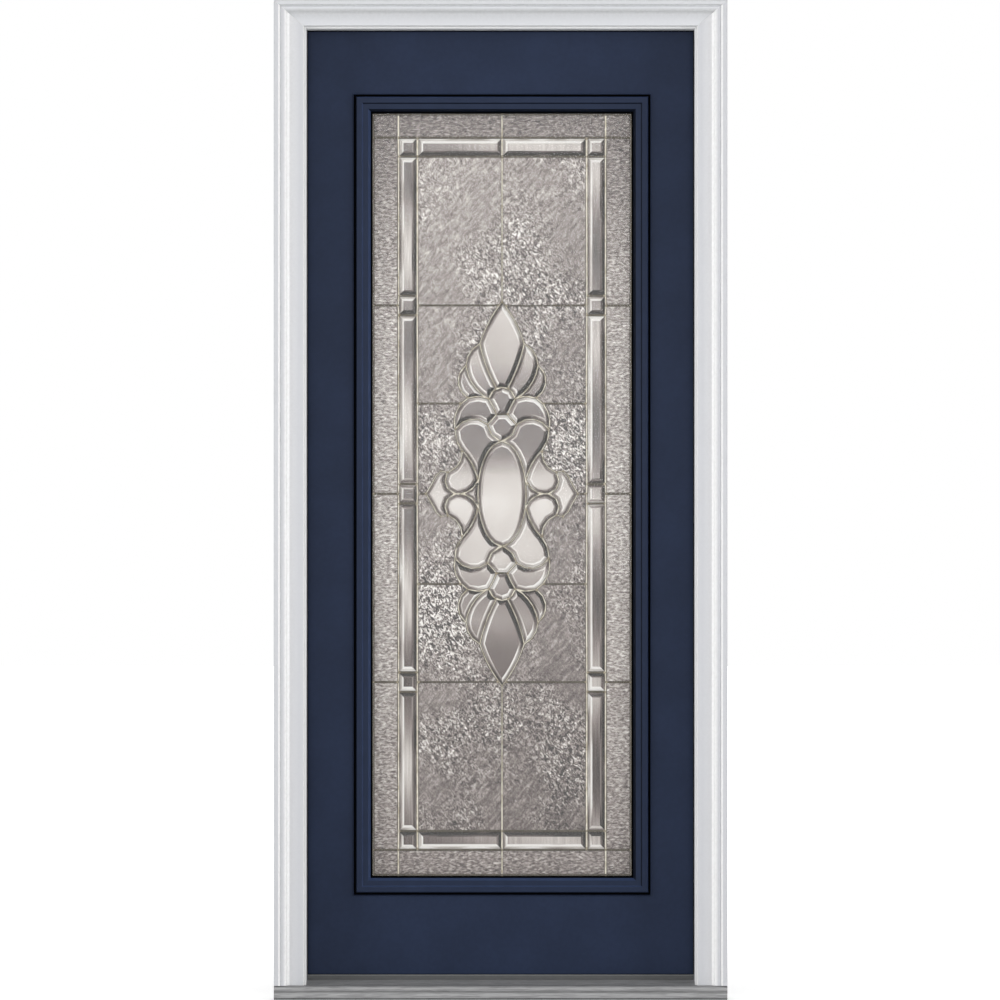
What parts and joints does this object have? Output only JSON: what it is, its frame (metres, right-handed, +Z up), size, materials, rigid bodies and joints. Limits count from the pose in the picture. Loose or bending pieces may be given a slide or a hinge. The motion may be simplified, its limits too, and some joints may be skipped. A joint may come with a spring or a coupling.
{
  "type": "prehung entry door",
  "caption": "Inswing fiberglass entry door with a leaded bevelled-glass lite, in a rabbeted frame with mitred casing and an aluminium sill.",
  "frame": {"origin": "middle of the sill's underside, in the plane where the casing's back meets the wall's outer face", "axes": "+X to the right seen from outdoors, +Y into the house, +Z up"},
  "size_m": [0.944, 0.1598, 2.08],
  "materials": {
    "painted_fiberglass": "satin navy paint on a smooth moulded skin",
    "painted_lite_frame": "satin navy paint on a moulded frame",
    "white_trim": "satin white, faint stipple",
    "white_jamb": "satin white primer paint",
    "sill_composite": "matte composite",
    "sill_aluminium": "mill finish, ribbed",
    "sill_cap_composite": "matte composite",
    "weatherstrip_foam": "matte foam with a smooth skin",
    "edge_wood": "planed",
    "edge_composite": "planed composite",
    "foam": "rigid foam",
    "clear_glass": "clear float glass",
    "textured_glass": "rippled and seeded cathedral glass",
    "bevelled_glass": "clear glass with polished bevels",
    "spacer_aluminium": "mill finish",
    "glazing_tape": "black glazing tape",
    "came_metal": "satin nickel with a warm tone",
    "hinge_steel": "satin steel"
  },
  "bodies": {
    "frame": {"sill_block": "sill_composite", "sill_deck": "sill_aluminium", "sill_cap": "sill_cap_composite", "hinge_jamb": "white_jamb", "latch_jamb": "white_jamb", "head_jamb": "white_jamb", "casing_left": "white_trim", "casing_right": "white_trim", "casing_head": "white_trim", "weatherstrip_hinge_side": "weatherstrip_foam", "weatherstrip_latch_side": "weatherstrip_foam", "weatherstrip_head": "weatherstrip_foam", "hinge_leaf_jamb_top": "hinge_steel", "hinge_leaf_jamb_middle": "hinge_steel", "hinge_leaf_jamb_bottom": "hinge_steel"},
    "door": {"skin_outer": "painted_fiberglass", "skin_inner": "painted_fiberglass", "stile_hinge": "edge_wood", "stile_latch": "edge_wood", "rail_top": "edge_wood", "rail_bottom": "edge_composite", "foam_core": "foam", "lite_frame_outer": "painted_lite_frame", "lite_frame_inner": "painted_lite_frame", "pane_outer": "clear_glass", "pane_inner": "clear_glass", "glazing_tape": "glazing_tape", "glazing_spacers": "spacer_aluminium", "came_network": "came_metal", "glass_border": "textured_glass", "glass_border_bevels": "bevelled_glass", "glass_field": "textured_glass", "glass_buds": "bevelled_glass", "glass_petals": "bevelled_glass", "glass_scrolls": "bevelled_glass", "glass_jewels": "bevelled_glass", "glass_oval": "bevelled_glass", "glass_drops": "bevelled_glass", "glass_wings": "bevelled_glass", "door_sweep": "weatherstrip_foam", "hinge_leaf_slab_top": "hinge_steel", "hinge_leaf_slab_middle": "hinge_steel", "hinge_leaf_slab_bottom": "hinge_steel"}
  },
  "joints": [
    {"name": "door_swing", "type": "hinge", "parent": "frame", "child": "door", "pos_m": [-0.4152, 0.1224, 1], "axis": [0, 0, 1], "range_deg": [0, 170]}
  ]
}
